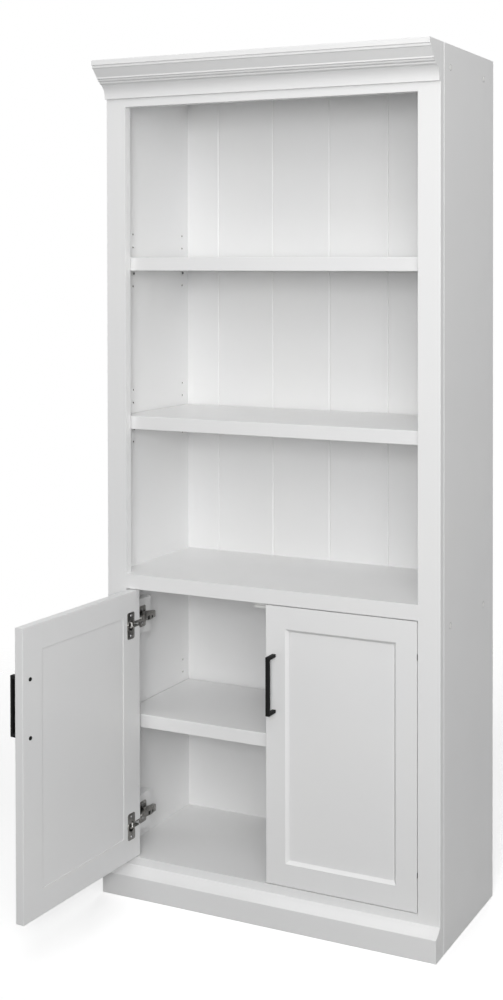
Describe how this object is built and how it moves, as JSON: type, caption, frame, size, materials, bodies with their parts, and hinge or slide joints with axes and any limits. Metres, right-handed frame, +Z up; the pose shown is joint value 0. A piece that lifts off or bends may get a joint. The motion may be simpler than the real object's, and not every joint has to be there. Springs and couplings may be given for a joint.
{
  "type": "bookcase with cabinet doors",
  "caption": "Tall painted bookcase: open bays with loose shelves over a cabinet with inset framed doors and bar handles, under a moulded crown, on a plain moulded base.",
  "frame": {"origin": "on the floor, halfway along the width, in the plane of the face frame's front", "axes": "+Z up, +X to the right as seen from the front, +Y towards the back"},
  "size_m": [0.881, 0.6843, 2],
  "materials": {
    "paint": "satin white paint over wood board",
    "handle": "matt black powder coat",
    "hinge": "nickel-plated pressed steel",
    "fastener": "zinc-plated steel",
    "cam": "die-cast zinc alloy",
    "plastic": "white moulded plastic",
    "dowel": "bare beech"
  },
  "bodies": {
    "case": {"back_panel_nails": "fastener", "base_moulding": "paint", "bottom_panel": "paint", "bottom_rail": "paint", "cabinet_shelf": "paint", "cam_bolts": "fastener", "cam_locks": "cam", "crown_moulding": "paint", "door_stop": "plastic", "dowels": "dowel", "fixed_shelf": "paint", "hinge_pins": "fastener", "hinge_plates": "hinge", "left_lower_hinge_arm": "hinge", "left_lower_hinge_block": "paint", "left_shelf_cleat": "paint", "left_side_panel": "paint", "left_stile": "paint", "left_upper_hinge_arm": "hinge", "left_upper_hinge_block": "paint", "lower_back_panel": "paint", "middle_rail": "paint", "middle_shelf": "paint", "plinth_back_rail": "paint", "right_lower_hinge_arm": "hinge", "right_lower_hinge_block": "paint", "right_shelf_cleat": "paint", "right_side_panel": "paint", "right_stile": "paint", "right_upper_hinge_arm": "hinge", "right_upper_hinge_block": "paint", "shelf_supports": "hinge", "short_screws": "fastener", "side_screw_caps": "plastic", "side_screws": "fastener", "top_panel": "paint", "top_rail": "paint", "upper_back_panel": "paint", "upper_shelf": "paint"},
    "left_door": {"left_door_bottom_rail": "paint", "left_door_free_stile": "paint", "left_door_hinge_stile": "paint", "left_door_panel": "paint", "left_door_top_rail": "paint", "left_handle": "handle", "left_handle_screws": "fastener", "left_hinge_cup_screws": "fastener", "left_lower_hinge_cup": "hinge", "left_upper_hinge_cup": "hinge"},
    "right_door": {"right_door_bottom_rail": "paint", "right_door_free_stile": "paint", "right_door_hinge_stile": "paint", "right_door_panel": "paint", "right_door_top_rail": "paint", "right_handle": "handle", "right_handle_screws": "fastener", "right_hinge_cup_screws": "fastener", "right_lower_hinge_cup": "hinge", "right_upper_hinge_cup": "hinge"}
  },
  "joints": [
    {"name": "left_door_hinge", "type": "hinge", "parent": "case", "child": "left_door", "pos_m": [-0.375, 0.0036, 0.4125], "axis": [0, 0, 1], "range_deg": [-2, 93]},
    {"name": "right_door_hinge", "type": "hinge", "parent": "case", "child": "right_door", "pos_m": [0.375, 0.0036, 0.4125], "axis": [0, 0, 1], "range_deg": [0, 95]}
  ]
}
